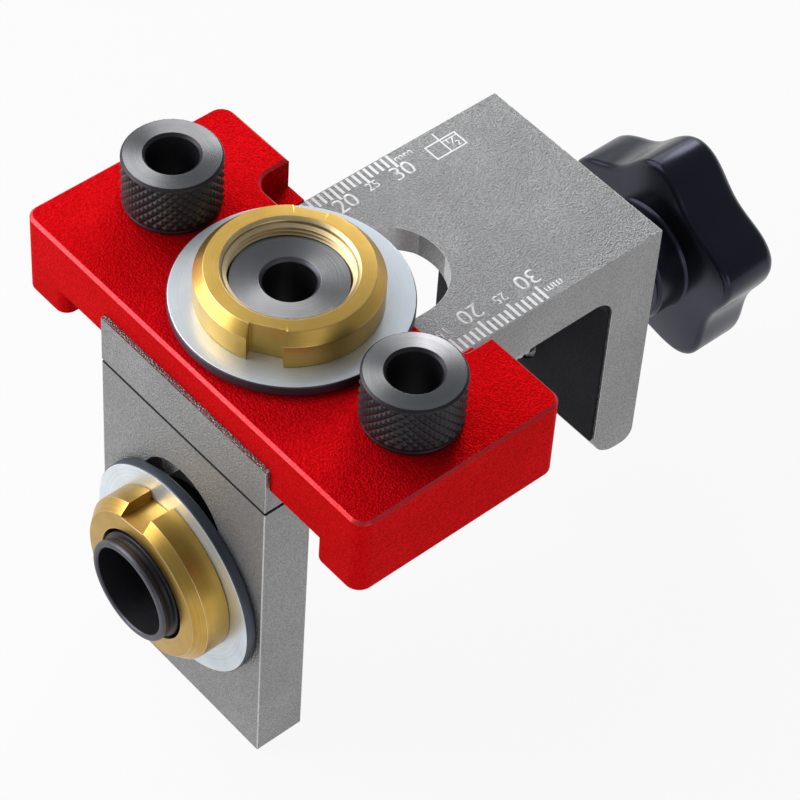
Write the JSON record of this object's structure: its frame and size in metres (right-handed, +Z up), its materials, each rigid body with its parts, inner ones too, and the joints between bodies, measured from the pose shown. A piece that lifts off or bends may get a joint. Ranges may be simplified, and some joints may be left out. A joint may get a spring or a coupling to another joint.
{
  "type": "self centering doweling jig",
  "caption": "Clamp-on dowelling jig: sliding red drill block with knurled bushes, ring-nut clamped centre and front bushes, and a star-knob clamp screw.",
  "frame": {"origin": "on the centre drill bush's axis, level with the top plate's top face", "axes": "+Z up along the centre drill bush, +Y along the top plate from the front plate to the knob, +X across the plate"},
  "size_m": [0.077, 0.1181, 0.0817],
  "materials": {
    "frame_alu": "bead blasted, matte",
    "block_red": "red anodised, satin",
    "bush_steel": "hardened, blued",
    "nut_brass": "turned",
    "washer_steel": "zinc plated",
    "knob_black": "moulded, glossy",
    "screw_steel": "turned and threaded",
    "facing_black": "matte",
    "screw_black": "black oxide"
  },
  "bodies": {
    "frame": {"frame": "frame_alu", "front_plate": "frame_alu", "plate_screws": "screw_black", "leg_facing": "facing_black"},
    "slider": {"slider_block": "block_red", "drill_bush_left": "bush_steel", "drill_bush_right": "bush_steel", "centre_bush": "bush_steel"},
    "centre_washer": {"centre_washer": "washer_steel"},
    "centre_nut": {"centre_nut": "nut_brass"},
    "front_carriage": {"front_bush": "bush_steel"},
    "front_washer": {"front_washer": "washer_steel"},
    "front_nut": {"front_nut": "nut_brass"},
    "foot": {"clamp_foot": "screw_steel"},
    "screw": {"clamp_screw": "screw_steel", "foot_clip": "screw_black", "knob": "knob_black"}
  },
  "joints": [
    {"name": "slider_slide", "type": "slide", "parent": "frame", "child": "slider", "axis": [0, 1, 0], "range_m": [-0.0034, 0.0185]},
    {"name": "centre_washer_lift", "type": "slide", "parent": "slider", "child": "centre_washer", "axis": [0, 0, 1], "range_m": [0, 0.001]},
    {"name": "centre_nut_turn", "type": "hinge", "parent": "centre_washer", "child": "centre_nut", "pos_m": [0, 0, 0], "axis": [0, 0, 1], "range_deg": [0, 360]},
    {"name": "front_bush_slide", "type": "slide", "parent": "frame", "child": "front_carriage", "axis": [0, 0, 1], "range_m": [-0.006, 0.011]},
    {"name": "front_washer_lift", "type": "slide", "parent": "front_carriage", "child": "front_washer", "axis": [0, -1, 0], "range_m": [0, 0.001]},
    {"name": "front_nut_turn", "type": "hinge", "parent": "front_washer", "child": "front_nut", "pos_m": [0, 0, -0.0377], "axis": [0, -1, 0], "range_deg": [0, 360]},
    {"name": "clamp_feed", "type": "slide", "parent": "frame", "child": "foot", "axis": [0, 1, 0], "range_m": [-0.0127, 0.0255]},
    {"name": "clamp_turn", "type": "hinge", "parent": "foot", "child": "screw", "pos_m": [0, 0, -0.0326], "axis": [0, 1, 0], "range_deg": [-3660, 7346]}
  ],
  "couplings": [
    {"joint": "centre_nut_turn", "follows": "centre_washer_lift", "rad_per_m": 6283.2},
    {"joint": "front_nut_turn", "follows": "front_washer_lift", "rad_per_m": 6283.2},
    {"joint": "clamp_turn", "follows": "clamp_feed", "rad_per_m": 5026.6}
  ]
}
